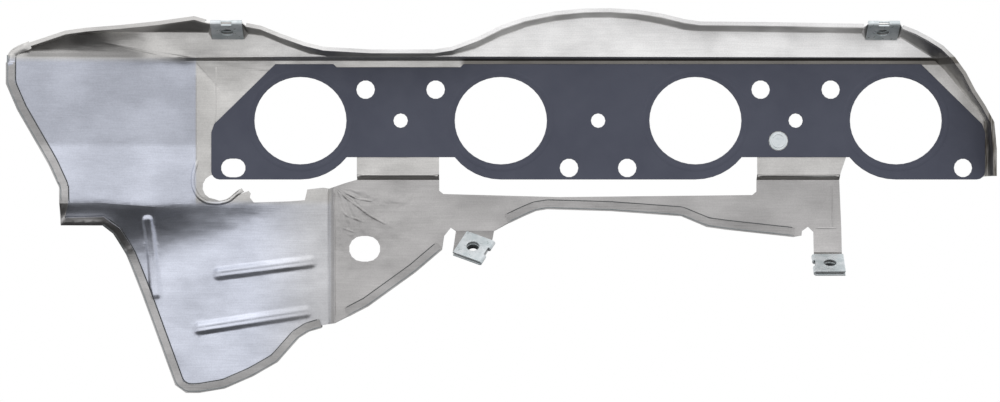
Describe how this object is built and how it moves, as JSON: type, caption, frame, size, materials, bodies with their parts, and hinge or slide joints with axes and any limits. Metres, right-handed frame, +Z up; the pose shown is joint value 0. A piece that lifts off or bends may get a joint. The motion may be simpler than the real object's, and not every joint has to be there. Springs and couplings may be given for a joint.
{
  "type": "exhaust manifold gasket with heat shield",
  "caption": "Exhaust manifold gasket carried in a pressed steel heat shield, with clip nuts on its rim and lower tabs.",
  "frame": {"origin": "on the gasket's head face, midway between the two lower middle stud holes", "axes": "+X along the ports towards the short end, +Y into the cylinder head, +Z up towards the shield's rim"},
  "size_m": [0.4747, 0.0322, 0.1857],
  "materials": {
    "gasket_coating": "satin",
    "shield_steel": "satin",
    "skin_steel": "satin",
    "mat_fibre": "matte",
    "zinc": "satin"
  },
  "bodies": {
    "shield": {"gasket_front_layer": "gasket_coating", "gasket_rear_layer": "gasket_coating", "heat_shield_sheet": "shield_steel", "shield_outer_skin": "skin_steel", "insulation_mat": "mat_fibre", "rivet": "zinc"},
    "nut_top_left": {"clip_nut_top_left": "zinc"},
    "nut_top_right": {"clip_nut_top_right": "zinc"},
    "nut_lower_middle": {"clip_nut_lower_middle": "zinc"},
    "nut_lower_right": {"clip_nut_lower_right": "zinc"}
  },
  "joints": [
    {"name": "nut_top_left_slide", "type": "slide", "parent": "shield", "child": "nut_top_left", "axis": [0, -0.8995, 0.4369], "range_m": [0, 0.014]},
    {"name": "nut_top_right_slide", "type": "slide", "parent": "shield", "child": "nut_top_right", "axis": [0, -0.902, 0.4317], "range_m": [0, 0.014]},
    {"name": "nut_lower_middle_slide", "type": "slide", "parent": "shield", "child": "nut_lower_middle", "axis": [0.8988, -0.299, -0.3206], "range_m": [0, 0.014]},
    {"name": "nut_lower_right_slide", "type": "slide", "parent": "shield", "child": "nut_lower_right", "axis": [-1, 0, 0], "range_m": [0, 0.014]}
  ]
}
